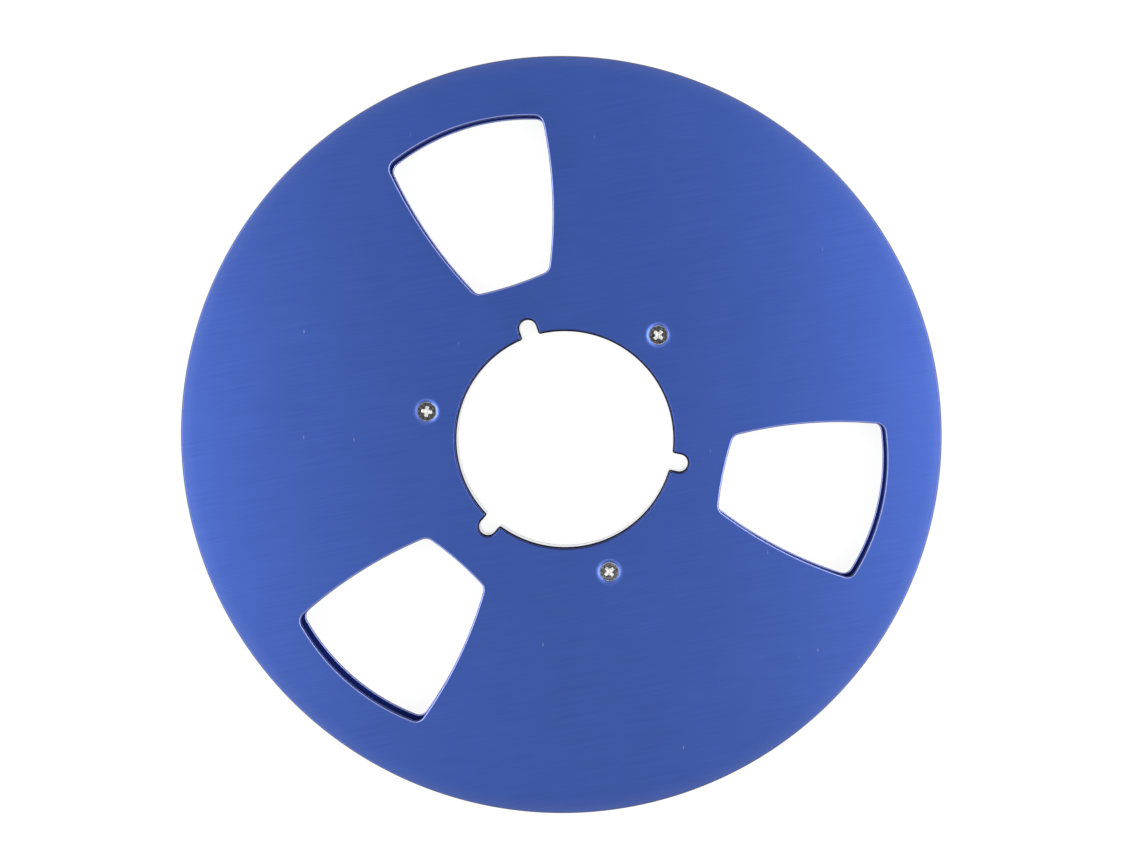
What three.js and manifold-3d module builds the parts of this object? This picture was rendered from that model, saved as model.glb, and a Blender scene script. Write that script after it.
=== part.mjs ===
// Open-reel tape reel, 10.5 inch size: two sheet-metal flanges screwed to a keyed hub ring.
//
// Millimetres. +Z is the axis the reel turns about, and the rear flange lies on z = 0.
// One key slot and one window of each flange are centred on +Y.

import * as THREE from 'three';
import { mergeVertices } from 'three/addons/utils/BufferGeometryUtils.js';
import Module from 'manifold-3d';

const wasm = await Module();
wasm.setup();

// Whole reel.
const FLANGE_RADIUS = 133.35;
const SHEET = 1.5;
const HUB_WIDTH = 7.0;
const REEL_WIDTH = HUB_WIDTH + 2 * SHEET;
const THIRD_TURN = (2 * Math.PI) / 3;

// Hub ring and its keyed bore. The flanges' holes stand back from the hub's all round.
const BORE_RADIUS = 38.1;
const HUB_RADIUS = 56.5;
const KEY_WIDTH = 6.0;
const KEY_TIP_RADIUS = 44.1;
const KEY_MOUTH_RADIUS = 0.8;
const FLANGE_SET_BACK = 0.5;
const TAPE_SLOT = { width: 1.6, depth: 6, angle: 0 };

// Window outline, centred on +Y: sharp corners first, then how far each side bows out.
const WINDOW = {
  innerHalf: 13.4,
  innerY: 57.9,
  innerBow: 0.8,
  innerCorner: 3.4,
  outerHalf: 28.0,
  outerY: 109.3,
  outerBow: 5.3,
  outerCorner: 3.2,
  sideBow: 2.4,
};

// Screw seat pressed into each flange. Depths are measured down from the flange's outer face.
const SCREW_CIRCLE_RADIUS = 49.3;
const SCREW_ANGLES = [30, 150, 270];
const DIMPLE = { radius: 4.8, depth: 0.8 };
const SEAT = { topRadius: 3.8, holeRadius: 2.1, bossDepth: 2.65 };
const BOSS_SLOPE_OUTSET = 0.6;

// Countersunk screw, 90 degree head with a cross recess. It drives into the hub.
const SCREW = { headRadius: 3.45, headDepth: 0.85, shankRadius: 1.75, length: 3.9, pointBreak: 0.4 };
const HEAD_RIM = 0.15;
const CROSS = { length: 3.6, width: 1.15, depth: 1.5, taper: 0.45 };
const FRONT_SCREW_TURNS = [28, -28, 22];
const REAR_SCREW_TURNS = [-12, 41, 9];

// Clearances and edge breaks.
const THREAD_CLEARANCE = 0.1;
const BOSS_CLEARANCE = 0.15;
const FLANGE_EDGE_BREAK = 0.4;
const HUB_EDGE_BREAK = FLANGE_SET_BACK;
const CUT_OVERSHOOT = 1;

// Facets: the furthest a curved edge may stand off its true arc, and the screws' segment count.
const SAGITTA = 0.05;
const SCREW_SEGMENTS = 20;

const MATERIALS = {
  blueAnodisedAluminium: { color: '#3d57a2', roughness: 0.4, metalness: 1.0 },
  turnedAluminium: { color: '#d5d6d8', roughness: 0.3, metalness: 1.0 },
  platedSteel: { color: '#8d8d90', roughness: 0.3, metalness: 1.0 },
};

// ---- Outlines ----

/** Points along an arc, both ends included, fine enough to keep within SAGITTA of it. */
function arcPoints(centre, radius, from, to) {
  const longestStep = 2 * Math.acos(1 - SAGITTA / radius);
  const steps = Math.max(2, Math.ceil(Math.abs(to - from) / longestStep));
  return Array.from({ length: steps + 1 }, (_, index) => {
    const angle = THREE.MathUtils.lerp(from, to, index / steps);
    return new THREE.Vector2(Math.cos(angle), Math.sin(angle)).multiplyScalar(radius).add(centre);
  });
}

/** A full circle about the axis, its first point not repeated. */
function circlePoints(radius) {
  return arcPoints(new THREE.Vector2(), radius, 0, 2 * Math.PI).slice(0, -1);
}

/** Drops each point that lies on the one before it, where two arcs meet. */
function withoutRepeats(points) {
  return points.filter((point, index) => point.distanceTo(points.at(index - 1)) > 1e-6);
}

/** Turns a list of points about the axis. */
function turned(points, angle) {
  return points.map((point) => point.clone().rotateAround(new THREE.Vector2(), angle));
}

/** The bore with its three round-ended key slots, moved outwards by setBack all round. */
function keyedBoreOutline(setBack) {
  const bore = BORE_RADIUS + setBack;
  const halfWidth = KEY_WIDTH / 2 + setBack;
  const endCentre = new THREE.Vector2(0, KEY_TIP_RADIUS - KEY_WIDTH / 2);
  const mouthX = halfWidth + KEY_MOUTH_RADIUS;
  const mouthY = Math.sqrt((bore + KEY_MOUTH_RADIUS) ** 2 - mouthX ** 2);
  const mouthAngle = Math.atan2(mouthY, mouthX);
  const rightMouth = new THREE.Vector2(mouthX, mouthY);
  const leftMouth = new THREE.Vector2(-mouthX, mouthY);
  const oneThird = [
    ...arcPoints(rightMouth, KEY_MOUTH_RADIUS, mouthAngle + Math.PI, Math.PI),
    ...arcPoints(endCentre, halfWidth, 0, Math.PI),
    ...arcPoints(leftMouth, KEY_MOUTH_RADIUS, 0, -mouthAngle),
    ...arcPoints(new THREE.Vector2(), bore, Math.PI - mouthAngle, mouthAngle + THIRD_TURN),
  ];
  return withoutRepeats([0, 1, 2].flatMap((third) => turned(oneThird, third * THIRD_TURN)));
}

/** Centre and radius of the arc from start to end that bows out to the right of that line. */
function bowedSide(start, end, bow) {
  const chord = end.clone().sub(start);
  const radius = (chord.lengthSq() / 4 + bow ** 2) / (2 * bow);
  const inward = new THREE.Vector2(-chord.y, chord.x).normalize();
  const middle = start.clone().lerp(end, 0.5);
  return { centre: middle.addScaledVector(inward, radius - bow), radius };
}

/** Centre of the round corner that is tangent, from inside, to two bowed sides. */
function cornerCentre(before, after, radius, corner) {
  const reachBefore = before.radius - radius;
  const reachAfter = after.radius - radius;
  const between = after.centre.clone().sub(before.centre);
  const gap = between.length();
  const along = (reachBefore ** 2 - reachAfter ** 2 + gap ** 2) / (2 * gap);
  const across = Math.sqrt(reachBefore ** 2 - along ** 2);
  const foot = before.centre.clone().addScaledVector(between, along / gap);
  const normal = new THREE.Vector2(-between.y, between.x).divideScalar(gap);
  const choices = [across, -across].map((step) => foot.clone().addScaledVector(normal, step));
  return choices.sort((a, b) => a.distanceTo(corner) - b.distanceTo(corner))[0];
}

/** Arc about centre that runs counter-clockwise between the directions of two points. */
function arcTowards(centre, radius, firstPoint, lastPoint, origins = [centre, centre]) {
  const from = firstPoint.clone().sub(origins[0]).angle();
  const to = lastPoint.clone().sub(origins[1]).angle();
  return arcPoints(centre, radius, from, to > from ? to : to + 2 * Math.PI);
}

/** Outline through four corners with bowed sides and round corners, counter-clockwise. */
function windowOutline() {
  const corners = [
    new THREE.Vector2(-WINDOW.innerHalf, WINDOW.innerY),
    new THREE.Vector2(WINDOW.innerHalf, WINDOW.innerY),
    new THREE.Vector2(WINDOW.outerHalf, WINDOW.outerY),
    new THREE.Vector2(-WINDOW.outerHalf, WINDOW.outerY),
  ];
  const bows = [WINDOW.innerBow, WINDOW.sideBow, WINDOW.outerBow, WINDOW.sideBow];
  const radii = [WINDOW.innerCorner, WINDOW.innerCorner, WINDOW.outerCorner, WINDOW.outerCorner];
  const sides = corners.map((corner, i) => bowedSide(corner, corners[(i + 1) % 4], bows[i]));
  const rounds = corners.map((corner, i) => cornerCentre(sides.at(i - 1), sides[i], radii[i], corner));
  return withoutRepeats(corners.flatMap((_, i) => {
    const round = rounds[i];
    const nextRound = rounds[(i + 1) % 4];
    const before = sides.at(i - 1);
    const side = sides[i];
    return [
      ...arcTowards(round, radii[i], round, round, [before.centre, side.centre]),
      ...arcTowards(side.centre, side.radius, round, nextRound),
    ];
  }));
}

// ---- Solids ----

/** Flat plate from z = 0 up to thickness, with both faces' edges broken. */
function plate(outline, holes, thickness, edgeBreak) {
  const shape = new THREE.Shape(outline);
  shape.holes = holes.map((hole) => new THREE.Path(hole));
  const geometry = new THREE.ExtrudeGeometry(shape, {
    depth: thickness - 2 * edgeBreak,
    bevelThickness: edgeBreak,
    bevelSize: edgeBreak,
    bevelOffset: -edgeBreak,
    bevelSegments: 1,
  });
  return geometry.translate(0, 0, edgeBreak);
}

/** Solid of revolution about +Z. The profile lists [radius, z] from the bottom to the top. */
function lathe(profile) {
  const points = profile.map(([radius, z]) => new THREE.Vector2(radius, z));
  return new THREE.LatheGeometry(points, SCREW_SEGMENTS).rotateX(Math.PI / 2);
}

/** The closed solid that a geometry bounds. */
function toSolid(geometry) {
  const bare = geometry.clone();
  bare.deleteAttribute('normal');
  bare.deleteAttribute('uv');
  const merged = mergeVertices(bare);
  const index = Array.from(merged.index.array);
  const triVerts = [];
  for (let i = 0; i < index.length; i += 3) {
    const [a, b, c] = index.slice(i, i + 3);
    if (a !== b && b !== c && c !== a) {
      triVerts.push(a, b, c);
    }
  }
  return new wasm.Manifold(new wasm.Mesh({
    numProp: 3,
    vertProperties: Float32Array.from(merged.attributes.position.array),
    triVerts: Uint32Array.from(triVerts),
  }));
}

/** A flat-shaded geometry from a solid. */
function toGeometry(solid) {
  const { vertProperties, triVerts } = solid.getMesh();
  const geometry = new THREE.BufferGeometry();
  geometry.setAttribute('position', new THREE.BufferAttribute(vertProperties, 3));
  geometry.setIndex(new THREE.BufferAttribute(triVerts, 1));
  const flat = geometry.toNonIndexed();
  flat.computeVertexNormals();
  return flat;
}

/** Copies of a geometry moved onto the screw circle, one for each screw. */
function atScrews(geometry) {
  return SCREW_ANGLES.map((degrees) => {
    const angle = THREE.MathUtils.degToRad(degrees);
    const place = new THREE.Vector2(SCREW_CIRCLE_RADIUS, 0).rotateAround(new THREE.Vector2(), angle);
    return geometry.clone().translate(place.x, place.y, 0);
  });
}

/** Pressed seat's underside, standing proud of the flange's inner face. */
function dimpleBoss(outset) {
  const bottomRadius = DIMPLE.radius + BOSS_SLOPE_OUTSET - (SEAT.bossDepth - SHEET);
  return lathe([
    [0, -SEAT.bossDepth - outset],
    [bottomRadius + outset, -SEAT.bossDepth - outset],
    [DIMPLE.radius + BOSS_SLOPE_OUTSET + outset, -SHEET],
    [DIMPLE.radius + BOSS_SLOPE_OUTSET + outset, -SHEET / 2],
    [0, -SHEET / 2],
  ]);
}

/** Shallow dimple, 90 degree seat and clearance hole, all cut from the outer face. */
function seatCut() {
  const coneDepth = DIMPLE.depth + SEAT.topRadius - SEAT.holeRadius;
  return lathe([
    [0, -SEAT.bossDepth - CUT_OVERSHOOT],
    [SEAT.holeRadius, -SEAT.bossDepth - CUT_OVERSHOOT],
    [SEAT.holeRadius, -coneDepth],
    [SEAT.topRadius, -DIMPLE.depth],
    [DIMPLE.radius, 0],
    [DIMPLE.radius, CUT_OVERSHOOT],
    [0, CUT_OVERSHOOT],
  ]);
}

/** Flange with its outer face on z = 0 and its screw bosses pointing down. */
function flangeGeometry() {
  const window = windowOutline();
  const holes = [keyedBoreOutline(FLANGE_SET_BACK)];
  for (let third = 0; third < 3; third += 1) {
    holes.push(turned(window, third * THIRD_TURN));
  }
  const sheet = plate(circlePoints(FLANGE_RADIUS), holes, SHEET, FLANGE_EDGE_BREAK);
  let solid = toSolid(sheet.translate(0, 0, -SHEET));
  for (const boss of atScrews(dimpleBoss(0))) {
    solid = solid.add(toSolid(boss));
  }
  for (const cut of atScrews(seatCut())) {
    solid = solid.subtract(toSolid(cut));
  }
  return toGeometry(solid);
}

/** Hub ring from z = 0 up: keyed bore, tape slot, and a recessed screw hole in each third. */
function hubGeometry() {
  const ring = plate(circlePoints(HUB_RADIUS), [keyedBoreOutline(0)], HUB_WIDTH, HUB_EDGE_BREAK);
  const slot = new THREE.BoxGeometry(2 * TAPE_SLOT.depth, TAPE_SLOT.width, HUB_WIDTH + 2 * CUT_OVERSHOOT);
  slot.translate(HUB_RADIUS, 0, HUB_WIDTH / 2);
  slot.rotateZ(TAPE_SLOT.angle);
  const holeRadius = SCREW.shankRadius + THREAD_CLEARANCE;
  const hole = lathe([
    [0, -CUT_OVERSHOOT],
    [holeRadius, -CUT_OVERSHOOT],
    [holeRadius, HUB_WIDTH + CUT_OVERSHOOT],
    [0, HUB_WIDTH + CUT_OVERSHOOT],
  ]);
  const topRecess = dimpleBoss(BOSS_CLEARANCE).translate(0, 0, HUB_WIDTH + SHEET);
  const bottomRecess = dimpleBoss(BOSS_CLEARANCE).rotateX(Math.PI).translate(0, 0, -SHEET);
  let solid = toSolid(ring).subtract(toSolid(slot));
  for (const cut of [hole, topRecess, bottomRecess].flatMap(atScrews)) {
    solid = solid.subtract(toSolid(cut));
  }
  return toGeometry(solid);
}

/** Screw with its head's rim SCREW.headDepth below z = 0 and its point downwards. */
function screwGeometry() {
  const top = -SCREW.headDepth;
  const bottom = top - SCREW.length;
  const neck = top - HEAD_RIM - (SCREW.headRadius - SCREW.shankRadius);
  const body = lathe([
    [0, bottom],
    [SCREW.shankRadius - SCREW.pointBreak, bottom],
    [SCREW.shankRadius, bottom + SCREW.pointBreak],
    [SCREW.shankRadius, neck],
    [SCREW.headRadius, top - HEAD_RIM],
    [SCREW.headRadius, top],
    [0, top],
  ]);
  let solid = toSolid(body);
  for (const turn of [0, Math.PI / 2]) {
    const wing = new THREE.CylinderGeometry(Math.SQRT1_2, Math.SQRT1_2 * CROSS.taper, 2 * CROSS.depth, 4);
    wing.rotateY(Math.PI / 4).rotateX(Math.PI / 2).scale(CROSS.length, CROSS.width, 1);
    solid = solid.subtract(toSolid(wing.rotateZ(turn).translate(0, 0, top)));
  }
  return toGeometry(solid);
}

// ---- Assembly ----

/** A named mesh with a material of its own. */
function namedMesh(name, geometry, material) {
  const mesh = new THREE.Mesh(geometry, new THREE.MeshStandardMaterial(material));
  mesh.name = name;
  return mesh;
}

/** One side of the reel: its flange and three screws, outer face on z = 0 of the group. */
function reelSide(side, flange, screw, turns) {
  const group = new THREE.Group();
  group.name = `${side}_side`;
  group.add(namedMesh(`${side}_flange`, flange, MATERIALS.blueAnodisedAluminium));
  SCREW_ANGLES.forEach((degrees, index) => {
    const mesh = namedMesh(`${side}_screw_${index + 1}`, screw, MATERIALS.platedSteel);
    const angle = THREE.MathUtils.degToRad(degrees);
    mesh.position.set(Math.cos(angle), Math.sin(angle), 0).multiplyScalar(SCREW_CIRCLE_RADIUS);
    mesh.rotation.z = THREE.MathUtils.degToRad(turns[index]);
    group.add(mesh);
  });
  return group;
}

const flange = flangeGeometry();
const screw = screwGeometry();

const front = reelSide('front', flange, screw, FRONT_SCREW_TURNS);
front.position.z = REEL_WIDTH;

const rear = reelSide('rear', flange, screw, REAR_SCREW_TURNS);
rear.rotation.y = Math.PI;

const hub = namedMesh('hub', hubGeometry(), MATERIALS.turnedAluminium);
hub.position.z = SHEET;

const reel = new THREE.Group();
reel.name = 'tape_reel';
reel.add(rear, hub, front);

export default reel;
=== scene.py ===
"""Open-reel tape reel, 10.5 inch size: the finished looks of its nine pieces.

Two blue-anodised sheet flanges are screwed to a turned aluminium hub ring. Everything is in
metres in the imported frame: +Z is the axis the reel turns about, and the rear flange lies on
z = 0 with one window centred on +Y.
"""

import logging
import math
from collections.abc import Sequence
from dataclasses import dataclass, field, replace
from enum import Enum

import bmesh
import bpy
from mathutils import Matrix, Vector


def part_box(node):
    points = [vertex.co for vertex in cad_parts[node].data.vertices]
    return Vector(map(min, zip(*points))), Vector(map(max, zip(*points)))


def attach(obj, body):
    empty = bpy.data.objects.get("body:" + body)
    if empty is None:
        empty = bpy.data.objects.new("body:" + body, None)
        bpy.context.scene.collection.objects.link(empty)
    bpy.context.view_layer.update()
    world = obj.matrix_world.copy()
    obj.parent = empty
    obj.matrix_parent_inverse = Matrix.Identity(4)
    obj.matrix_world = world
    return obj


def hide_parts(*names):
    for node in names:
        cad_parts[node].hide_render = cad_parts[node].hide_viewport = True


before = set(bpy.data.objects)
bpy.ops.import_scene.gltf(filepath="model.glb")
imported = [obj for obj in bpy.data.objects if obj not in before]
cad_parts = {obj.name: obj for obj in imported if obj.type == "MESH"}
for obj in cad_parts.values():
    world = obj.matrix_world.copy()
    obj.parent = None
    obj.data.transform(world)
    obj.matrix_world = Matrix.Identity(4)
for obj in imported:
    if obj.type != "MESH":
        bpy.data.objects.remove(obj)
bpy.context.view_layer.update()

log = logging.getLogger("tape_reel")

Ring = list[bmesh.types.BMVert]

MM = 0.001
THIRD_TURN = math.tau / 3
SCREW_ANGLES = (math.radians(30), math.radians(150), math.radians(270))
SAME_PLACE = 1e-7


class Side(Enum):
    """The two faces of the reel. The value is the name its nodes start with."""

    FRONT = "front"
    REAR = "rear"


# ---------------------------------------------------------------------------
# Outlines and meshes
# ---------------------------------------------------------------------------


@dataclass
class Outline:
    """Closed plan curve whose points carry a normal that points out of the metal."""

    points: list[Vector] = field(default_factory=list)
    normals: list[Vector] = field(default_factory=list)
    sagitta: float = 0.002 * MM
    least_steps: int = 4

    def arc(self, centre: Vector, radius: float, start: float, end: float, facing: int) -> None:
        """Adds an arc, leaving out any point that repeats the one before.

        Args:
            centre: Centre of the arc.
            radius: Radius of the arc.
            start: Angle of the first point.
            end: Angle of the last point, below start for a clockwise arc.
            facing: 1 if the metal is on the centre's side, -1 if the opening is.
        """
        longest = 2 * math.acos(1 - self.sagitta / radius)
        steps = max(self.least_steps, math.ceil(abs(end - start) / longest))
        for step in range(steps + 1):
            angle = start + (end - start) * step / steps
            spoke = Vector((math.cos(angle), math.sin(angle)))
            point = centre + spoke * radius
            if not self.points or (point - self.points[-1]).length > SAME_PLACE:
                self.points.append(point)
                self.normals.append(spoke * facing)

    def close(self) -> "Outline":
        """Drops the last point if it repeats the first, and returns the outline."""
        if (self.points[-1] - self.points[0]).length < SAME_PLACE:
            self.points.pop()
            self.normals.pop()
        return self

    def turned(self, angle: float) -> "Outline":
        """A copy turned about the reel's axis."""
        turn = Matrix.Rotation(angle, 2)
        return Outline([turn @ p for p in self.points], [turn @ n for n in self.normals])

    def ring(self, mesh: bmesh.types.BMesh, inset: float, height: float) -> Ring:
        """Adds one loop of vertices.

        Args:
            mesh: Mesh that gets the vertices.
            inset: Distance from the outline into the metal.
            height: Height of the loop.

        Returns:
            The new vertices, in the outline's order.
        """
        places = zip(self.points, self.normals)
        return [mesh.verts.new((*(p - n * inset), height)) for p, n in places]


def circle(radius: float, facing: int = 1, centre: Vector = Vector((0, 0))) -> Outline:
    """A full circle. See Outline.arc for facing."""
    outline = Outline()
    outline.arc(centre, radius, 0, math.tau, facing)
    return outline.close()


def bridge(
    mesh: bmesh.types.BMesh,
    rings: Sequence[Ring],
    finishes: Sequence[int] = (),
) -> None:
    """Joins neighbouring rings of equal length with smooth quads.

    Args:
        mesh: Mesh that gets the faces.
        rings: Rings in order.
        finishes: Material number of each band between two rings, 0 where it is left out.
    """
    for band, (upper, lower) in enumerate(zip(rings, rings[1:])):
        count = len(upper)
        for i in range(count):
            j = (i + 1) % count
            face = mesh.faces.new((upper[i], upper[j], lower[j], lower[i]))
            face.smooth = True
            face.material_index = finishes[band] if band < len(finishes) else 0


def cap(
    mesh: bmesh.types.BMesh, rings: Sequence[Ring], finish: int = 0
) -> None:
    """Fills the flat area that the first ring bounds, less the areas of the others.

    Args:
        mesh: Mesh that gets the faces.
        rings: The area's outer ring, then its holes.
        finish: Material number of the faces.
    """
    edges = []
    for ring in rings:
        for i, vertex in enumerate(ring):
            edges.append(mesh.edges.get((vertex, ring[(i + 1) % len(ring)])))
    filled = bmesh.ops.triangle_fill(mesh, use_beauty=True, use_dissolve=False, edges=edges)
    for item in filled["geom"]:
        if isinstance(item, bmesh.types.BMFace):
            item.smooth = False
            item.material_index = finish


def finish_mesh(mesh: bmesh.types.BMesh, name: str) -> bpy.types.Object:
    """Turns a closed mesh's faces outwards and makes it an object.

    Args:
        mesh: The mesh to finish. It is freed.
        name: Name of the new object and its mesh.

    Returns:
        The object, linked to the scene.
    """
    bmesh.ops.recalc_face_normals(mesh, faces=mesh.faces)
    data = bpy.data.meshes.new(name)
    mesh.to_mesh(data)
    mesh.free()
    made = bpy.data.objects.new(name, data)
    bpy.context.scene.collection.objects.link(made)
    return made


@dataclass(frozen=True)
class CutEdge:
    """Section of a flange's edge: a shallow break, a steep filed bevel, the wall, a soft foot.

    The points are (inset, depth) in millimetres from the outer face. A narrow flat band at
    each end carries the face's shading on.
    """

    shallow: tuple[tuple[float, float], ...] = ((0.6, 0.0), (0.55, 0.0), (0.44, 0.01), (0.3, 0.045))
    steep: tuple[tuple[float, float], ...] = ((0.2, 0.1), (0.13, 0.19), (0.07, 0.33), (0.02, 0.47))
    wall: tuple[tuple[float, float], ...] = ((0.0, 0.6), (0.0, 1.2))
    foot: tuple[tuple[float, float], ...] = ((0.04, 1.35), (0.15, 1.46), (0.3, 1.5), (0.34, 1.5))
    wall_finish: int = 2

    def section(self, thickness: float) -> list[tuple[float, float]]:
        """Places the section on a sheet.

        Args:
            thickness: Thickness of the sheet.

        Returns:
            (inset, height) pairs from the outer face to the inner one.
        """
        points = self.shallow + self.steep + self.wall + self.foot
        return [(inset * MM, thickness - depth * MM) for inset, depth in points]

    def finishes(self, pale_tone: bool) -> list[int]:
        """Finish number of each band.

        Args:
            pale_tone: Whether the shallow break gets the pale painted highlight, as it does on the
                windows.

        Returns:
            0 for the face's finish, 1 for the break and foot, whose pale tone is a painted highlight,
            4 for the inner face's, and wall_finish for the bevel and wall, whose dark tone is painted
            shade.
        """
        breaks = [int(pale_tone)] * (len(self.shallow) - 1)
        walls = [self.wall_finish] * (len(self.steep) + 1)
        return [0] + breaks + walls + [1] * (len(self.foot) - 1) + [4]


def chamfered_edge(width: float, thickness: float) -> list[tuple[float, float]]:
    """Section of a plate's edge with 45 degree chamfers whose corners are a little rounded.

    Args:
        width: Width of each chamfer.
        thickness: Thickness of the plate.

    Returns:
        (inset, height) pairs from the top down.
    """
    half = [(1.0, 0.0), (0.94, 0.015), (0.04, 0.96), (0.0, 1.1)]
    upper = [(width * inset, thickness - width * depth) for inset, depth in half]
    lower = [(width * inset, width * height) for inset, height in reversed(half)]
    return upper + lower


# ---------------------------------------------------------------------------
# Finishes
# ---------------------------------------------------------------------------


def linear(code: str) -> tuple[float, float, float, float]:
    """Turns an sRGB hex colour into a linear one.

    Args:
        code: Colour such as "#3d57a2".

    Returns:
        Linear red, green and blue, and an alpha of 1.
    """
    channels = [int(code[i : i + 2], 16) / 255 for i in (1, 3, 5)]
    decoded = [c / 12.92 if c <= 0.04045 else ((c + 0.055) / 1.055) ** 2.4 for c in channels]
    return (*decoded, 1.0)


def set_inputs(
    tree: bpy.types.NodeTree, node: bpy.types.Node, inputs: dict[str | int, object]
) -> None:
    """Links a node's inputs to sockets, or sets their values.

    Args:
        tree: Node tree that the node is in.
        node: The node.
        inputs: For each input's name or number, a value to set or a socket to link.
    """
    for key, value in inputs.items():
        if isinstance(value, bpy.types.NodeSocket):
            tree.links.new(value, node.inputs[key])
        else:
            node.inputs[key].default_value = value


def add_node(
    tree: bpy.types.NodeTree,
    kind: str,
    settings: dict[str, object] | None = None,
    inputs: dict[str | int, object] | None = None,
) -> bpy.types.Node:
    """Adds a node with its settings and links.

    Args:
        tree: Node tree that gets the node.
        kind: Type name of the node.
        settings: Properties to set on it.
        inputs: As for set_inputs.

    Returns:
        The new node.
    """
    node = tree.nodes.new(kind)
    for name, value in (settings or {}).items():
        setattr(node, name, value)
    set_inputs(tree, node, inputs or {})
    return node


def start_material(name: str) -> tuple[bpy.types.Material, bpy.types.NodeTree, bpy.types.Node]:
    """Makes a material that holds only a Principled shader linked to its output.

    Args:
        name: Name of the material.

    Returns:
        The material, its node tree and the shader.
    """
    material = bpy.data.materials.new(name)
    material.use_nodes = True
    tree = material.node_tree
    tree.nodes.clear()
    shader = add_node(tree, "ShaderNodeBsdfPrincipled")
    add_node(tree, "ShaderNodeOutputMaterial", inputs={"Surface": shader.outputs["BSDF"]})
    return material, tree, shader


def axis_distance(
    tree: bpy.types.NodeTree, place: bpy.types.NodeSocket, axis: tuple[float, float] = (0.0, 0.0)
) -> bpy.types.NodeSocket:
    """Adds the nodes that measure how far a place is from an upright axis.

    Args:
        tree: Node tree that gets the nodes.
        place: Socket with the place in the piece's own coordinates.
        axis: Where the axis crosses z = 0.

    Returns:
        Socket with the distance.
    """
    flat = add_node(
        tree,
        "ShaderNodeVectorMath",
        {"operation": "MULTIPLY_ADD"},
        {0: place, 1: (1.0, 1.0, 0.0), 2: (-axis[0], -axis[1], 0.0)},
    )
    reach = add_node(tree, "ShaderNodeVectorMath", {"operation": "LENGTH"}, {0: flat.outputs[0]})
    return reach.outputs["Value"]


def turn_and_stretch(
    tree: bpy.types.NodeTree,
    place: bpy.types.NodeSocket,
    angle: float,
    scale: tuple[float, float, float],
) -> bpy.types.NodeSocket:
    """Adds the nodes that turn a place about Z, then scale it along each axis.

    Args:
        tree: Node tree that gets the nodes.
        place: Socket with the place.
        angle: Angle of the turn.
        scale: Factor for each axis.

    Returns:
        Socket with the new place.
    """
    turned = add_node(
        tree,
        "ShaderNodeVectorRotate",
        {"rotation_type": "Z_AXIS"},
        {"Vector": place, "Angle": angle},
    )
    scaled = add_node(
        tree,
        "ShaderNodeVectorMath",
        {"operation": "MULTIPLY"},
        {0: turned.outputs["Vector"], 1: scale},
    )
    return scaled.outputs["Vector"]


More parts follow.
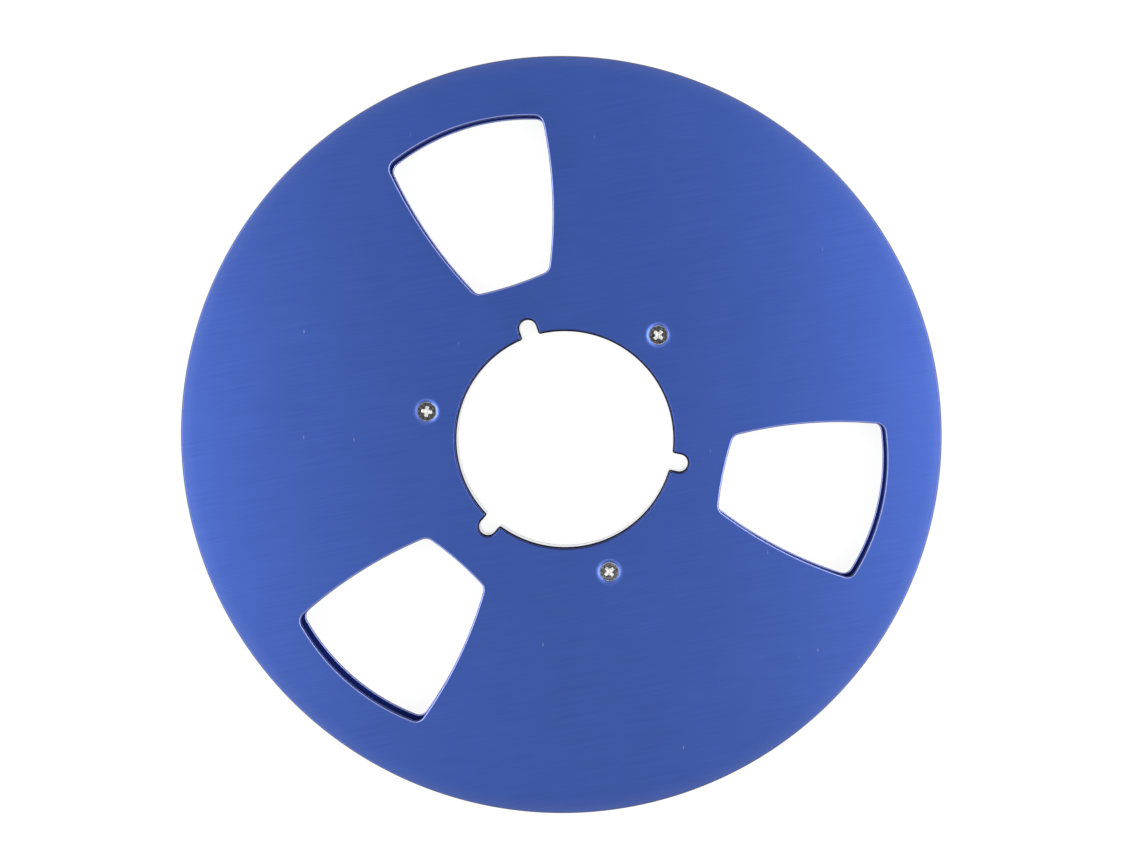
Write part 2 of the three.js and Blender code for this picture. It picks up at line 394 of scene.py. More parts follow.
@dataclass(frozen=True)
class AnodisedAluminium:
    """Blue-dyed anodised aluminium sheet, straight-brushed before the dye.

    The dye colours what the metal reflects, the brushed lines smear it across the grain, and
    the clear oxide skin adds a faint white gloss that shows towards the lit edges.
    """

    name: str
    grain_angle: float
    dye: str = "#496ccc"
    dye_deep: str = "#4062bf"
    pale_tone: str = "#a9b4de"
    roughness: float = 0.42
    anisotropy: float = 0.75
    metallic: float = 1.0
    coat: float = 0.3
    coat_roughness: float = 0.35
    line_length: float = 24 * MM
    # Real brushed lines are about 0.1 mm apart. They are drawn at 0.45 mm so that they show.
    line_pitch: float = 0.45 * MM
    mottle: float = 18 * MM
    nick_spacing: float = 9 * MM
    nick_size: float = 0.22 * MM
    nick_slant: float = math.radians(62)
    nick_stretch: float = 4.0
    # Handling wears the dye a little paler over the last few millimetres before the rim.
    wear_start: float = 127 * MM
    wear_end: float = 133.2 * MM
    wear_amount: float = 0.13

    def make(self) -> bpy.types.Material:
        """Builds the material."""
        material, tree, shader = start_material(self.name)
        place = add_node(tree, "ShaderNodeTexCoord").outputs["Object"]
        line_scale = (1 / self.line_length, 1 / self.line_pitch, 0.0)
        along = turn_and_stretch(tree, place, -self.grain_angle, line_scale)
        lines = add_node(
            tree,
            "ShaderNodeTexNoise",
            inputs={"Vector": along, "Scale": 1.0, "Detail": 3.0, "Roughness": 0.6},
        )
        blotches = add_node(
            tree,
            "ShaderNodeTexNoise",
            inputs={"Vector": place, "Scale": 1 / self.mottle, "Detail": 2.0, "Roughness": 0.5},
        )
        shade = add_node(
            tree,
            "ShaderNodeMath",
            {"operation": "MULTIPLY_ADD"},
            {0: blotches.outputs["Fac"], 1: 0.35, 2: lines.outputs["Fac"]},
        )
        spread = add_node(
            tree,
            "ShaderNodeMapRange",
            inputs={"Value": shade.outputs[0], "From Min": 0.4, "From Max": 0.95},
        )
        colour = add_node(
            tree,
            "ShaderNodeMix",
            {"data_type": "RGBA"},
            {0: spread.outputs[0], 6: linear(self.dye_deep), 7: linear(self.dye)},
        )
        nick_angle = self.grain_angle - self.nick_slant
        slanted = turn_and_stretch(tree, place, nick_angle, (1 / self.nick_stretch, 1.0, 0.0))
        nicks = add_node(
            tree,
            "ShaderNodeTexVoronoi",
            {"voronoi_dimensions": "2D"},
            {"Vector": slanted, "Scale": 1 / self.nick_spacing},
        )
        near = add_node(
            tree,
            "ShaderNodeMapRange",
            inputs={
                "Value": nicks.outputs["Distance"],
                "From Min": self.nick_size / self.nick_spacing,
                "From Max": self.nick_size / self.nick_spacing * 0.4,
            },
        )
        chance = add_node(tree, "ShaderNodeSeparateColor", inputs={0: nicks.outputs["Color"]})
        few = add_node(
            tree,
            "ShaderNodeMapRange",
            inputs={"Value": chance.outputs[0], "From Min": 0.88, "From Max": 1.0},
        )
        nicked = add_node(
            tree,
            "ShaderNodeMath",
            {"operation": "MULTIPLY"},
            {0: near.outputs[0], 1: few.outputs[0]},
        )
        marked = add_node(
            tree,
            "ShaderNodeMix",
            {"data_type": "RGBA"},
            {0: nicked.outputs[0], 6: colour.outputs[2], 7: linear(self.pale_tone)},
        )
        nearness = add_node(
            tree,
            "ShaderNodeMapRange",
            inputs={
                "Value": axis_distance(tree, place),
                "From Min": self.wear_start,
                "From Max": self.wear_end,
                "To Max": math.sqrt(self.wear_amount),
            },
        )
        wear = add_node(
            tree,
            "ShaderNodeMath",
            {"operation": "POWER"},
            {0: nearness.outputs[0], 1: 2.0},
        )
        handled = add_node(
            tree,
            "ShaderNodeMix",
            {"data_type": "RGBA"},
            {0: wear.outputs[0], 6: marked.outputs[2], 7: linear(self.pale_tone)},
        )
        gloss = add_node(
            tree,
            "ShaderNodeMapRange",
            inputs={
                "Value": lines.outputs["Fac"],
                "From Min": 0.3,
                "From Max": 0.7,
                "To Min": self.roughness - 0.02,
                "To Max": self.roughness + 0.02,
            },
        )
        relief = add_node(
            tree,
            "ShaderNodeBump",
            inputs={"Strength": 0.2, "Distance": 0.02 * MM, "Height": lines.outputs["Fac"]},
        )
        across = (-math.sin(self.grain_angle), math.cos(self.grain_angle), 0.0)
        tangent = add_node(tree, "ShaderNodeCombineXYZ", inputs=dict(enumerate(across)))
        looks = {
            "Base Color": handled.outputs[2],
            "Roughness": gloss.outputs[0],
            "Normal": relief.outputs["Normal"],
            "Tangent": tangent.outputs[0],
            "Metallic": self.metallic,
            "Anisotropic": self.anisotropy,
            "Coat Weight": self.coat,
            "Coat Roughness": self.coat_roughness,
            "Coat IOR": 1.6,
        }
        set_inputs(tree, shader, looks)
        return material


@dataclass(frozen=True)
class TurnedAluminium:
    """Bare aluminium, fine-turned on a lathe and left natural.

    It is bright and a little satin, with faint rings round the axis, so it mirrors the pale
    table on its walls. The dark line on the hub's chamfers is painted shade, a near-black copy.
    """

    name: str
    metal: str = "#dfe0e3"
    shade: str = "#d3d5d9"
    roughness: float = 0.14
    # Real turning marks are about 0.05 mm apart. They are drawn at 0.45 mm so that they show.
    ring_pitch: float = 0.45 * MM

    def make(self) -> bpy.types.Material:
        """Builds the material."""
        material, tree, shader = start_material(self.name)
        place = add_node(tree, "ShaderNodeTexCoord").outputs["Object"]
        parts = add_node(tree, "ShaderNodeSeparateXYZ", inputs={0: place})
        position = add_node(
            tree,
            "ShaderNodeMath",
            {"operation": "ADD"},
            {0: axis_distance(tree, place), 1: parts.outputs[2]},
        )
        pitch = add_node(
            tree,
            "ShaderNodeMath",
            {"operation": "MULTIPLY"},
            {0: position.outputs[0], 1: 1 / self.ring_pitch},
        )
        rings = add_node(
            tree,
            "ShaderNodeTexNoise",
            {"noise_dimensions": "1D"},
            {"W": pitch.outputs[0], "Scale": 1.0, "Detail": 3.0, "Roughness": 0.6},
        )
        colour = add_node(
            tree,
            "ShaderNodeMix",
            {"data_type": "RGBA"},
            {0: rings.outputs["Fac"], 6: linear(self.shade), 7: linear(self.metal)},
        )
        gloss = add_node(
            tree,
            "ShaderNodeMapRange",
            inputs={
                "Value": rings.outputs["Fac"],
                "To Min": self.roughness - 0.03,
                "To Max": self.roughness + 0.03,
            },
        )
        relief = add_node(
            tree,
            "ShaderNodeBump",
            inputs={"Strength": 0.1, "Distance": 0.01 * MM, "Height": rings.outputs["Fac"]},
        )
        looks = {
            "Base Color": colour.outputs[2],
            "Roughness": gloss.outputs[0],
            "Normal": relief.outputs["Normal"],
            "Metallic": 1.0,
        }
        set_inputs(tree, shader, looks)
        return material


@dataclass(frozen=True)
class PlatedSteel:
    """Bright-plated carbon steel, cold-headed.

    The head's flat top is polished enough to mirror what is above it, with faint rings from
    the heading die. The recess and the head's rounded rim use a much paler, rougher copy of the plating:
    a painted highlight that keeps them bright from every side.
    """

    name: str
    axis: tuple[float, float] = (0.0, 0.0)
    metal: str = "#b3afb1"
    shade: str = "#3c393c"
    roughness: float = 0.15
    # The die's marks are about 0.02 mm wide. They are drawn at 0.7 mm so that they show.
    mark_size: float = 0.7 * MM
    ring_pitch: float = 0.3 * MM

    def make(self) -> bpy.types.Material:
        """Builds the material."""
        material, tree, shader = start_material(self.name)
        place = add_node(tree, "ShaderNodeTexCoord").outputs["Object"]
        marks = add_node(
            tree,
            "ShaderNodeTexNoise",
            inputs={"Vector": place, "Scale": 1 / self.mark_size, "Detail": 4.0, "Roughness": 0.65},
        )
        pitch = add_node(
            tree,
            "ShaderNodeMath",
            {"operation": "MULTIPLY"},
            {0: axis_distance(tree, place, self.axis), 1: 1 / self.ring_pitch},
        )
        rings = add_node(
            tree,
            "ShaderNodeTexNoise",
            {"noise_dimensions": "1D"},
            {"W": pitch.outputs[0], "Scale": 1.0, "Detail": 2.0},
        )
        relief_height = add_node(
            tree,
            "ShaderNodeMath",
            {"operation": "MULTIPLY_ADD"},
            {0: rings.outputs["Fac"], 1: 0.6, 2: marks.outputs["Fac"]},
        )
        patches = add_node(
            tree,
            "ShaderNodeMapRange",
            inputs={"Value": marks.outputs["Fac"], "From Min": 0.4, "From Max": 0.64},
        )
        colour = add_node(
            tree,
            "ShaderNodeMix",
            {"data_type": "RGBA"},
            {0: patches.outputs[0], 6: linear(self.shade), 7: linear(self.metal)},
        )
        gloss = add_node(
            tree,
            "ShaderNodeMapRange",
            inputs={
                "Value": marks.outputs["Fac"],
                "From Min": 0.3,
                "From Max": 0.7,
                "To Min": self.roughness - 0.05,
                "To Max": self.roughness + 0.07,
            },
        )
        relief = add_node(
            tree,
            "ShaderNodeBump",
            inputs={"Strength": 0.3, "Distance": 0.02 * MM, "Height": relief_height.outputs[0]},
        )
        looks = {
            "Base Color": colour.outputs[2],
            "Roughness": gloss.outputs[0],
            "Normal": relief.outputs["Normal"],
            "Metallic": 1.0,
        }
        set_inputs(tree, shader, looks)
        return material


# ---------------------------------------------------------------------------
# The reel's pieces
# ---------------------------------------------------------------------------


@dataclass
class KeyedBore:
    """The hub's bore and its three round-ended key slots."""

    radius: float = 38.1 * MM
    key_width: float = 6.0 * MM
    key_tip: float = 44.1 * MM
    mouth: float = 0.8 * MM

    def outline(self, set_back: float = 0.0) -> Outline:
        """The bore's plan curve.

        Args:
            set_back: How far it is moved into the metal all round.

        Returns:
            The closed outline.
        """
        bore = self.radius + set_back
        half = self.key_width / 2 + set_back
        end = self.key_tip - self.key_width / 2
        across = half + self.mouth
        along = math.sqrt((bore + self.mouth) ** 2 - across**2)
        lean = math.atan2(along, across)
        outline = Outline()
        for third in range(3):
            turn = third * THIRD_TURN
            spin = Matrix.Rotation(turn, 2)
            right = spin @ Vector((across, along))
            left = spin @ Vector((-across, along))
            tip = spin @ Vector((0, end))
            outline.arc(right, self.mouth, turn + lean + math.pi, turn + math.pi, 1)
            outline.arc(tip, half, turn, turn + math.pi, -1)
            outline.arc(left, self.mouth, turn, turn - lean, 1)
            outline.arc(Vector((0, 0)), bore, turn + math.pi - lean, turn + lean + THIRD_TURN, -1)
        return outline.close()


@dataclass
class Window:
    """A flange window centred on +Y, with four bowed sides and round corners."""

    inner_half: float = 13.4 * MM
    inner_y: float = 57.9 * MM
    outer_half: float = 28.0 * MM
    outer_y: float = 109.3 * MM
    inner_bow: float = 0.8 * MM
    side_bow: float = 2.4 * MM
    outer_bow: float = 5.3 * MM
    inner_corner: float = 3.4 * MM
    outer_corner: float = 3.2 * MM

    @staticmethod
    def side(start: Vector, end: Vector, bow: float) -> tuple[Vector, float]:
        """The arc of one side, which bows outwards.

        Args:
            start: Corner where the side starts.
            end: Corner where it ends.
            bow: How far the arc's middle stands out from the straight line.

        Returns:
            Centre and radius of the arc.
        """
        chord = end - start
        radius = (chord.length_squared / 4 + bow**2) / (2 * bow)
        inward = Vector((-chord.y, chord.x)).normalized()
        return (start + end) / 2 + inward * (radius - bow), radius

    @staticmethod
    def corner(
        before: tuple[Vector, float], after: tuple[Vector, float], radius: float, near: Vector
    ) -> Vector:
        """Centre of the round corner between two sides.

        Args:
            before: Centre and radius of the side that ends at the corner.
            after: Centre and radius of the side that starts there.
            radius: Radius of the corner.
            near: The corner before rounding.

        Returns:
            The corner arc's centre.
        """
        reach = before[1] - radius
        other = after[1] - radius
        between = after[0] - before[0]
        gap = between.length
        along = (reach**2 - other**2 + gap**2) / (2 * gap)
        across = math.sqrt(reach**2 - along**2)
        foot = before[0] + between * (along / gap)
        normal = Vector((-between.y, between.x)) / gap
        return min((foot + normal * s for s in (across, -across)), key=lambda p: (p - near).length)

    def outline(self) -> Outline:
        """The window's plan curve, counter-clockwise."""
        corners = [
            Vector((-self.inner_half, self.inner_y)),
            Vector((self.inner_half, self.inner_y)),
            Vector((self.outer_half, self.outer_y)),
            Vector((-self.outer_half, self.outer_y)),
        ]
        bows = (self.inner_bow, self.side_bow, self.outer_bow, self.side_bow)
        radii = (self.inner_corner, self.inner_corner, self.outer_corner, self.outer_corner)
        sides = [self.side(corners[i], corners[(i + 1) % 4], bows[i]) for i in range(4)]
        rounds = [self.corner(sides[i - 1], sides[i], radii[i], corners[i]) for i in range(4)]
        outline = Outline()
        for i in range(4):
            leave = self.heading(sides[i - 1][0], rounds[i])
            enter = self.heading(sides[i][0], rounds[i], leave)
            outline.arc(rounds[i], radii[i], leave, enter, -1)
            reach = self.heading(sides[i][0], rounds[(i + 1) % 4], enter)
            outline.arc(*sides[i], enter, reach, -1)
        return outline.close()

    @staticmethod
    def heading(centre: Vector, target: Vector, after: float = -math.inf) -> float:
        """Direction from one point to another.

        Args:
            centre: Where the direction starts.
            target: Where it points.
            after: The angle is raised by whole turns until it is past this one.

        Returns:
            The angle in radians.
        """
        angle = math.atan2(target.y - centre.y, target.x - centre.x)
        while angle < after:
            angle += math.tau
        return angle


@dataclass
class ScrewSeat:
    """The dimple pressed into a flange round one screw. Depths go down from the face."""

    circle_radius: float = 49.3 * MM
    lip: float = 4.8 * MM
    throat: float = 3.5 * MM
    throat_depth: float = 1.0 * MM
    slope_depth: float = 0.23 * MM
    hole: float = 2.1 * MM
    hole_depth: float = 2.5 * MM
    boss_depth: float = 2.65 * MM
    boss_foot: float = 4.2 * MM
    boss_root: float = 5.9 * MM
    corner: float = 0.03 * MM
    slope_steps: int = 8
    segments: int = 96

    def centre(self, angle: float) -> Vector:
        """Place of the screw at an angle round the reel."""
        return Vector((math.cos(angle), math.sin(angle))) * self.circle_radius

    def section(self, sheet: float) -> list[tuple[float, float]]:
        """The seat's curve from the outer face to the inner one.

        Args:
            sheet: Thickness of the sheet.

        Returns:
            (radius, depth) pairs.
        """
        run = self.lip - self.throat - self.corner
        soft_lip = [(self.lip + 2 * self.corner, 0.0)]
        # The slope steepens steadily from the face to the throat.
        for step in range(self.slope_steps + 1):
            share = step / self.slope_steps
            soft_lip.append((self.lip - run * share, self.slope_depth * share**2))
        seat = [
            (self.throat + 0.012 * MM, self.slope_depth + 0.006 * MM),
            (self.throat, self.slope_depth + 0.02 * MM),
            (self.throat, self.throat_depth),
            (self.hole + 0.1 * MM, self.hole_depth - 0.1 * MM),
            (self.hole, self.hole_depth),
            (self.hole, self.boss_depth - 0.02 * MM),
            (self.hole + 0.02 * MM, self.boss_depth),
            (self.boss_foot - 0.15 * MM, self.boss_depth),
            (self.boss_foot, self.boss_depth - 0.05 * MM),
        ]
        root = [
            (self.boss_root - 0.5 * MM, sheet + 0.12 * MM),
            (self.boss_root - 0.25 * MM, sheet + 0.03 * MM),
            (self.boss_root, sheet),
        ]
        return soft_lip + seat + root


@dataclass
class Flange:
    """One brushed sheet flange with its windows, keyed hole and screw seats."""

    side: Side
    bore: KeyedBore
    seat: ScrewSeat
    window: Window = field(default_factory=Window)
    sheet: float = 1.5 * MM
    edge: CutEdge = field(default_factory=CutEdge)
    # The rim's bevel and wall take finish 5, the painted dark reflection.
    rim_edge: CutEdge = CutEdge(
        shallow=((0.64, 0.0), (0.6, 0.0), (0.56, 0.004)),
        steep=((0.48, 0.04), (0.32, 0.13), (0.16, 0.28), (0.02, 0.46)),
        wall_finish=5,
    )
    bore_edge: CutEdge = CutEdge(
        shallow=((0.5, 0.0), (0.46, 0.0), (0.42, 0.003), (0.36, 0.012)),
        steep=((0.3, 0.05), (0.21, 0.15), (0.11, 0.31), (0.03, 0.47)),
    )
    set_back: float = 0.5 * MM

    def build(self) -> bpy.types.Object:
        """Builds the flange in place, its outer face up on the front and down on the rear."""
        node = f"{self.side.value}_flange"
        low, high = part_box(node)
        radius = (high.x - low.x) / 2
        cuts = [(circle(radius), self.rim_edge, False)]
        cuts += [(self.bore.outline(self.set_back), self.bore_edge, False)]
        # The windows' shallow breaks get the pale painted highlight.
        for third in range(3):
            cuts += [(self.window.outline().turned(third * THIRD_TURN), self.edge, True)]
        mesh = bmesh.new()
        tops = []
        bottoms = []
        for outline, edge, pale_tone in cuts:
            rings = [outline.ring(mesh, inset, height) for inset, height in edge.section(self.sheet)]
            bridge(mesh, rings, edge.finishes(pale_tone))
            tops.append(rings[0])
            bottoms.append(rings[-1])
        for angle in SCREW_ANGLES:
            rings = self.seat_rings(mesh, self.seat.centre(angle))
            bridge(mesh, rings, [0] + [3] * (len(rings) - 2))
            tops.append(rings[0])
            bottoms.append(rings[-1])
        cap(mesh, tops)
        cap(mesh, bottoms, 4)
        if self.side is Side.FRONT:
            place = Matrix.Translation((0, 0, high.z - self.sheet))
        else:
            place = Matrix.Rotation(math.pi, 4, "Y") @ Matrix.Translation((0, 0, -self.sheet))
        mesh.transform(place)
        made = finish_mesh(mesh, f"brushed_{node}")
        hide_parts(node)
        return made

    def seat_rings(self, mesh: bmesh.types.BMesh, centre: Vector) -> list[Ring]:
        """Adds the rings of one screw seat.

        Args:
            mesh: Mesh that gets the vertices.
            centre: Centre of the seat.

        Returns:
            The rings, from the outer face to the inner one.
        """
        turns = [math.tau * step / self.seat.segments for step in range(self.seat.segments)]
        spokes = [Vector((math.cos(turn), math.sin(turn))) for turn in turns]
        rings = []
        for radius, depth in self.seat.section(self.sheet):
            height = self.sheet - depth
            rings.append([mesh.verts.new((*(centre + spoke * radius), height)) for spoke in spokes])
        return rings

    def dress(self, made: bpy.types.Object, brushed: AnodisedAluminium) -> None:
        """Gives the flange its finishes and fixes it to the reel.

        Args:
            made: The flange.
            brushed: Finish of its faces, from which those of its edges and seats are made.
        """
        side = self.side.value
        # The broken corners and feet get a pale copy of the dye: a painted highlight where these rounded
        # edges catch the lamps and mirror the pale table.
        corner = replace(
            brushed,
            name=f"blue anodised aluminium, {side} broken corners",
            dye="#8b97d2",
            dye_deep="#828ecc",
            roughness=0.45,
            anisotropy=0.0,
        )
        # The cut walls and steep bevels get a nearly black, rough copy of the dye: painted shade for the
        # shade between the flanges and the dark room they mirror.
        wall = replace(
            brushed,
            name=f"blue anodised aluminium, {side} cut walls",
            dye="#2a3372",
            dye_deep="#222a60",
            roughness=0.65,
            anisotropy=0.0,
            metallic=0.75,
            coat=0.0,
        )
        # The rim's bevel and wall get a matt, dull purple-grey copy: a painted dark reflection that
        # draws the dark outline round the reel.
        turned = replace(
            wall,
            name=f"blue anodised aluminium, {side} turned rim",
            dye="#2a2344",
            dye_deep="#231d39",
            roughness=0.8,
            metallic=0.0,
        )
        # A pressed seat isn't brushed, so it is smoother and glints at its sides.
        pressed = replace(
            brushed,
            name=f"blue anodised aluminium, {side} pressed seats",
            roughness=0.34,
            anisotropy=0.0,
            coat=1.0,
            coat_roughness=0.25,
        )
        # The inner face is left as rolled, smoother than the brushed one, so it mirrors the
        # shade between the flanges.
        rolled = replace(
            brushed,
            name=f"blue anodised aluminium, {side} rolled inner face",
            roughness=0.25,
            anisotropy=0.0,
            metallic=0.94,
        )
        for finish in (brushed, corner, wall, pressed, rolled, turned):
            made.data.materials.append(finish.make())
        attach(made, "root")


@dataclass
class Hub:
    """Turned ring between the flanges: keyed bore, tape slot and recessed screw holes."""

    bore: KeyedBore
    seat: ScrewSeat
    sheet: float = 1.5 * MM
    chamfer: float = 0.5 * MM
    slot_half: float = 0.8 * MM
    slot_depth: float = 6 * MM
    slot_mouth: float = 0.6 * MM
    hole: float = 1.76 * MM
    recess_clearance: float = 0.15 * MM

    def rim(self, radius: float) -> Outline:
        """The hub's outer curve, with the tape slot on +X.

        Args:
            radius: Radius of the curve.

        Returns:
            The closed outline.
        """
        across = self.slot_half + self.slot_mouth
        along = math.sqrt((radius - self.slot_mouth) ** 2 - across**2)
        lean = math.atan2(across, along)
        end = Vector((radius - self.slot_depth + self.slot_half, 0))
        outline = Outline()
        outline.arc(Vector((along, -across)), self.slot_mouth, -lean, math.pi / 2, 1)
        outline.arc(end, self.slot_half, -math.pi / 2, -3 * math.pi / 2, -1)
        outline.arc(Vector((along, across)), self.slot_mouth, -math.pi / 2, lean, 1)
        outline.arc(Vector((0, 0)), radius, lean, math.tau - lean, 1)
        return outline.close()

    def build(self) -> bpy.types.Object:
        """Builds the ring in place."""
        low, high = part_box("hub")
        width = high.z - low.z
        mesh = bmesh.new()
        section = chamfered_edge(self.chamfer, width)
        tops = []
        bottoms = []
        for outline in (self.rim((high.y - low.y) / 2), self.bore.outline()):
            rings = [outline.ring(mesh, inset, height) for inset, height in section]
            # All bands but the middle one are chamfers, which get finish 1, the near-black painted
            # shade.
            bridge(mesh, rings, [1, 1, 1, 0, 1, 1, 1])
            tops.append(rings[0])
            bottoms.append(rings[-1])
        for angle in SCREW_ANGLES:
            outline = circle(self.hole, -1, self.seat.centre(angle))
            rings = [outline.ring(mesh, r - self.hole, z) for r, z in self.screw_hole(width)]
            tops.append(rings[0])
            bottoms.append(rings[-1])
            bridge(mesh, rings)
        cap(mesh, tops)
        cap(mesh, bottoms)
        mesh.transform(Matrix.Translation((0, 0, low.z)))
        made = finish_mesh(mesh, "turned_hub")
        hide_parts("hub")
        return made

    def screw_hole(self, width: float) -> list[tuple[float, float]]:
        """Section of one screw hole with a recess at each end.

        Args:
            width: Width of the hub.

        Returns:
            (radius, height) pairs from the top down.
        """
        depth = self.seat.boss_depth - self.sheet + self.recess_clearance
        top = self.seat.boss_root + self.recess_clearance
        foot = self.seat.boss_foot + self.recess_clearance
        upper = [
            (top, width),
            (foot, width - depth),
            (self.hole + 0.2 * MM, width - depth),
            (self.hole, width - depth - 0.2 * MM),
        ]
        return upper + [(radius, width - height) for radius, height in reversed(upper)]

    def dress(self, made: bpy.types.Object, finish: TurnedAluminium) -> None:
        """Gives the hub its finishes and fixes it to the reel.

        Args:
            made: The hub.
            finish: Finish of its turned faces, from which that of its chamfers is made.
        """
        # The chamfers get a near-black copy of the metal: painted shade, which frames the bore and the
        # rim with a dark line.
        painted_shade_chamfers = replace(
            finish,
            name="aluminium chamfers, painted shade",
            metal="#23273d",
            shade="#191c2e",
            roughness=0.4,
        )
        made.data.materials.append(finish.make())
        made.data.materials.append(painted_shade_chamfers.make())
        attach(made, "root")


@dataclass
class Screw:
    """Countersunk cross-recess screw. Heights go up from the head's top."""

    side: Side
    number: int
    turn: float
    head: float = 3.45 * MM
    head_depth: float = 0.85 * MM
    rim: float = 0.15 * MM
    shank: float = 1.75 * MM
    length: float = 3.9 * MM
    pitch: float = 0.6 * MM
    thread_depth: float = 0.32 * MM
    wing_length: float = 1.85 * MM
    wing_width: float = 0.62 * MM
    recess_depth: float = 1.55 * MM
    segments: int = 64
    rings_per_turn: int = 8

    @property
    def node(self) -> str:
        """Name of the screw's node."""
        return f"{self.side.value}_screw_{self.number}"

    def build(self) -> bpy.types.Object:
        """Builds the screw in its seat."""
        mesh = bmesh.new()
        rings = [self.ring(mesh, radius, height) for radius, height in self.head_section()]
        rings += self.thread_rings(mesh)
        # Bands 1 to 4, the head's rounded rim, get the recess material, a pale painted highlight ring.
        bridge(mesh, rings, [0, 1, 1, 1, 1])
        self.close_fan(mesh, rings[-1])
        self.cut_recess(mesh, rings[0])
        low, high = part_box(self.node)
        middle = (low + high) / 2
        if self.side is Side.FRONT:
            place = Matrix.Translation((middle.x, middle.y, high.z))
        else:
            flip = Matrix.Rotation(math.pi, 4, "Y")
            place = Matrix.Translation((middle.x, middle.y, low.z)) @ flip
        mesh.transform(place @ Matrix.Rotation(self.turn, 4, "Z"))
        made = finish_mesh(mesh, f"plated_{self.node}")
        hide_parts(self.node)
        return made

    def ring(self, mesh: bmesh.types.BMesh, radius: float, height: float) -> Ring:
        """Adds one round ring of the screw's body."""
        turns = [math.tau * (step + 0.5) / self.segments for step in range(self.segments)]
        return [mesh.verts.new((radius * math.cos(a), radius * math.sin(a), height)) for a in turns]

    def head_section(self) -> list[tuple[float, float]]:
        """(radius, height) from the top face's edge down the cone to the shank."""
        drop = self.head - self.shank
        return [
            (self.head - 0.31 * MM, 0.0),
            (self.head - 0.27 * MM, 0.0),
            (self.head - 0.19 * MM, -0.012 * MM),
            (self.head - 0.1 * MM, -0.042 * MM),
            (self.head - 0.015 * MM, -0.085 * MM),
            (self.head, -self.rim),
            (self.head - 0.03 * MM, -self.rim - 0.05 * MM),
            (self.shank + 0.2 * MM, -self.rim - drop + 0.2 * MM),
            (self.shank - self.thread_depth, -self.rim - drop - self.thread_depth),
        ]

    def thread_rings(self, mesh: bmesh.types.BMesh) -> list[Ring]:
        """Rings of the threaded shank, whose radius follows the helix."""
        start = -self.rim - (self.head - self.shank) - self.thread_depth - 0.05 * MM
        end = -self.length + 0.12 * MM
        steps = math.ceil((start - end) / (self.pitch / self.rings_per_turn))
        rings = []
        for step in range(steps + 1):
            height = start + (end - start) * step / steps
            # The thread runs out over a few rings at each end.
            fade = min(1.0, step / 4, (steps - step) / 6)
            ring = []
            for place in range(self.segments):
                angle = math.tau * (place + 0.5) / self.segments
                phase = (height / self.pitch - angle / math.tau) % 1.0
                crest = 1 - abs(2 * phase - 1)
                radius = self.shank - self.thread_depth * (1 - crest * fade)
                ring.append(mesh.verts.new((radius * math.cos(angle), radius * math.sin(angle), height)))
            rings.append(ring)
        rings.append(self.ring(mesh, self.shank - self.thread_depth - 0.15 * MM, -self.length))
        return rings

    def close_fan(self, mesh: bmesh.types.BMesh, ring: Ring) -> None:
        """Closes the screw's point with a flat fan."""
        centre = mesh.verts.new((0, 0, -self.length))
        for i, vertex in enumerate(ring):
            mesh.faces.new((vertex, ring[(i + 1) % len(ring)], centre))

    def cross(self, mesh: bmesh.types.BMesh, shrink: float, height: float) -> Ring:
        """Adds one loop of the cross recess, with rounded wing ends and inner corners.

        Args:
            mesh: Mesh that gets the vertices.
            shrink: Size of the loop as a share of the cross's at the top face.
            height: Height of the loop.

        Returns:
            The loop's vertices.
        """
        length = self.wing_length * shrink
        half = self.wing_width * (0.35 + 0.65 * shrink)
        inner = half * 1.45
        loop = []
        for quarter in range(4):
            spin = Matrix.Rotation(quarter * math.pi / 2, 2)
            shape = [
                (inner, -half),
                (length - 0.3 * half, -half * 0.94),
                (length - 0.05 * half, -half * 0.6),
                (length, 0.0),
                (length - 0.05 * half, half * 0.6),
                (length - 0.3 * half, half * 0.94),
                (inner, half),
                (inner * 0.82, inner * 0.82),
            ]
            loop += [mesh.verts.new((*(spin @ Vector(point)), height)) for point in shape]
        return loop

    def cut_recess(self, mesh: bmesh.types.BMesh, top: Ring) -> None:
        """Fills the head's top face round the cross and sinks the recess to its floor.

        Args:
            mesh: Mesh of the screw.
            top: Ring that bounds the top face.
        """
        # (shrink, share of the full depth) from the face to the floor.
        levels = [(1.03, 0.0), (0.97, -0.05), (0.62, -0.55), (0.34, -0.9), (0.16, -1.0)]
        loops = [self.cross(mesh, shrink, depth * self.recess_depth) for shrink, depth in levels]
        first_face = len(mesh.faces)
        bridge(mesh, loops)
        floor = mesh.faces.new(loops[-1])
        mesh.faces.ensure_lookup_table()
        for face in mesh.faces[first_face:]:
            face.material_index = 1
            face.smooth = False
        floor.material_index = 1
        cap(mesh, [top, loops[0]])

    def dress(self, made: bpy.types.Object, recess: bpy.types.Material) -> None:
        """Gives the screw its finishes and fixes it to the reel.

        Args:
            made: The screw.
            recess: Material of the pressed recess and the head's rounded rim, a pale painted highlight,
                which all the screws share.
        """
        low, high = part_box(self.node)
        middle = (low + high) / 2
        head = PlatedSteel(f"bright-plated steel, {made.name} head", (middle.x, middle.y))
        made.data.materials.append(head.make())
        made.data.materials.append(recess)
        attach(made, "root")


# ---------------------------------------------------------------------------
# The studio
# ---------------------------------------------------------------------------


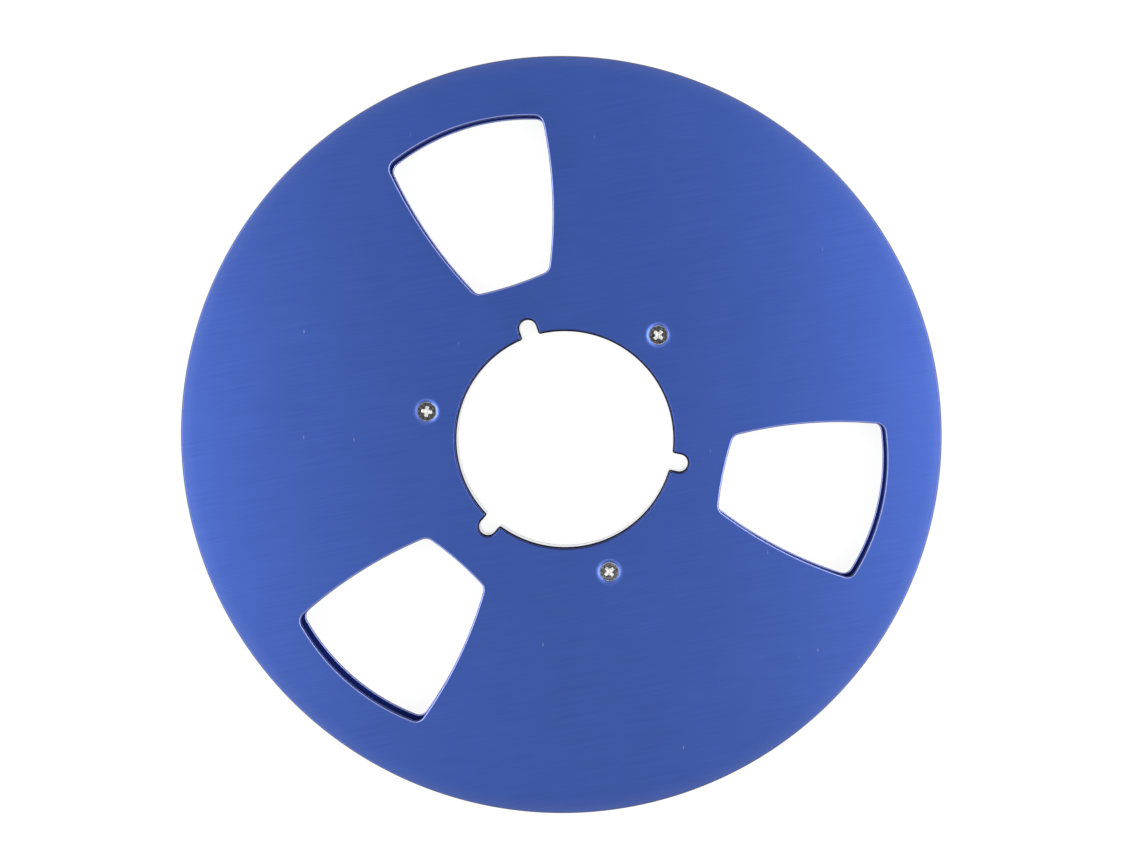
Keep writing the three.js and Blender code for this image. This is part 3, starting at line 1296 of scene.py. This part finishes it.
@dataclass
class Studio:
    """Pale table, soft boxes, even room and the camera above the reel."""

    floor_half: float = 8.0
    floor_tint: str = "#606060"
    floor_glow: float = 0.89
    room: str = "#a4a4a4"
    camera_place: tuple[float, float, float] = (31.5 * MM, 28.1 * MM, 523.1 * MM)
    camera_pitch: float = math.radians(3.139)
    camera_yaw: float = math.radians(2.11)
    camera_roll: float = math.radians(18.25)
    lens: float = 46.17
    shift: tuple[float, float] = (-0.0955, -0.0102)

    def lay_floor(self) -> None:
        """Lays the plain pale table that the reel rests on."""
        half = self.floor_half
        mesh = bmesh.new()
        corners = [(-half, -half), (half, -half), (half, half), (-half, half)]
        mesh.faces.new([mesh.verts.new((x, y, -0.1 * MM)) for x, y in corners])
        floor = finish_mesh(mesh, "floor")
        material, tree, shader = start_material("matt white acrylic, lit from below")
        looks = {
            "Base Color": linear(self.floor_tint),
            "Roughness": 0.9,
            "Specular IOR Level": 0.1,
            "Emission Color": (1.0, 1.0, 1.0, 1.0),
            "Emission Strength": self.floor_glow,
        }
        set_inputs(tree, shader, looks)
        floor.data.materials.append(material)

    def dim_room(self) -> None:
        """Makes the room beyond the lights an even grey."""
        world = bpy.data.worlds.new("studio room")
        world.use_nodes = True
        world.node_tree.nodes["Background"].inputs["Color"].default_value = linear(self.room)
        bpy.context.scene.world = world

    def hang_light(
        self, name: str, place: tuple[float, float, float], size: tuple[float, float], power: float
    ) -> None:
        """Hangs one soft box aimed at the reel.

        Args:
            name: Name of the light.
            place: Centre of the box in camera-aligned axes: right, up the view, height.
            size: Width along the table and height of the box.
            power: Power in watts.
        """
        light = bpy.data.lights.new(name, "AREA")
        light.shape = "RECTANGLE"
        light.size, light.size_y = size
        light.energy = power
        box = bpy.data.objects.new(name, light)
        box.location = Matrix.Rotation(-self.camera_roll, 3, "Z") @ Vector(place)
        aim = Vector((0, 0, 0)) - box.location
        box.rotation_euler = aim.to_track_quat("-Z", "Y").to_euler()
        box.visible_camera = False
        bpy.context.scene.collection.objects.link(box)

    def hang_lights(self) -> None:
        """Hangs soft boxes at the sides and ends, leaving the space overhead dark."""
        self.hang_light("left soft box", (-0.749, 0.0, 0.663), (1.4, 0.55), 10.8)
        self.hang_light("right soft box", (0.731, 0.0, 0.682), (1.4, 0.55), 11.6)
        self.hang_light("right strip", (0.358, 0.0, 0.934), (1.4, 0.12), 0.6)
        self.hang_light("top soft box", (0.0, 0.53, 0.848), (1.2, 0.25), 0.7)
        self.hang_light("bottom soft box", (0.0, -0.342, 0.94), (1.2, 0.25), 0.7)

    def place_camera(self) -> None:
        """Places the camera above the reel, leaning a little off its axis."""
        data = bpy.data.cameras.new("view camera")
        data.sensor_width = 36
        data.lens = self.lens
        data.shift_x, data.shift_y = self.shift
        data.clip_start = 0.01
        camera = bpy.data.objects.new("view camera", data)
        turn = (
            Matrix.Rotation(-self.camera_roll, 4, "Z")
            @ Matrix.Rotation(-self.camera_yaw, 4, "Y")
            @ Matrix.Rotation(-self.camera_pitch, 4, "X")
        )
        camera.matrix_world = Matrix.Translation(self.camera_place) @ turn
        bpy.context.scene.collection.objects.link(camera)
        bpy.context.scene.camera = camera

    def build(self) -> None:
        """Sets up the table, the room, the lights and the camera."""
        self.lay_floor()
        self.dim_room()
        self.hang_lights()
        self.place_camera()
        bpy.context.scene.view_settings.view_transform = "Standard"


def main() -> None:
    """Builds the reel piece by piece, then the studio round it."""
    logging.basicConfig(level=logging.INFO, format="%(name)s: %(message)s")
    bore = KeyedBore()
    seat = ScrewSeat()
    grain = math.radians(-8.25)
    sheets = {
        Side.FRONT: AnodisedAluminium("blue anodised brushed aluminium, front", grain),
        Side.REAR: AnodisedAluminium("blue anodised brushed aluminium, rear", -grain - THIRD_TURN),
    }
    turns = {Side.FRONT: (28, -28, 22), Side.REAR: (-12, 41, 9)}
    # The recess material is a much paler copy of the plating: a painted highlight on the cross recesses
    # and the heads' rounded rims.
    recess = PlatedSteel(
        "bright-plated steel, pressed recess", metal="#f4f4f2", shade="#dcdcda", roughness=0.45
    ).make()
    for side in Side:
        flange = Flange(side, bore, seat)
        flange.dress(flange.build(), sheets[side])
        log.info("%s flange built", side.value)
        for number, turn in enumerate(turns[side], start=1):
            screw = Screw(side, number, math.radians(turn))
            screw.dress(screw.build(), recess)
            log.info("%s screw %d built", side.value, number)
    hub = Hub(bore, seat)
    hub.dress(hub.build(), TurnedAluminium("turned bare aluminium"))
    log.info("hub built")
    Studio().build()


if __name__ == "__main__":
    main()
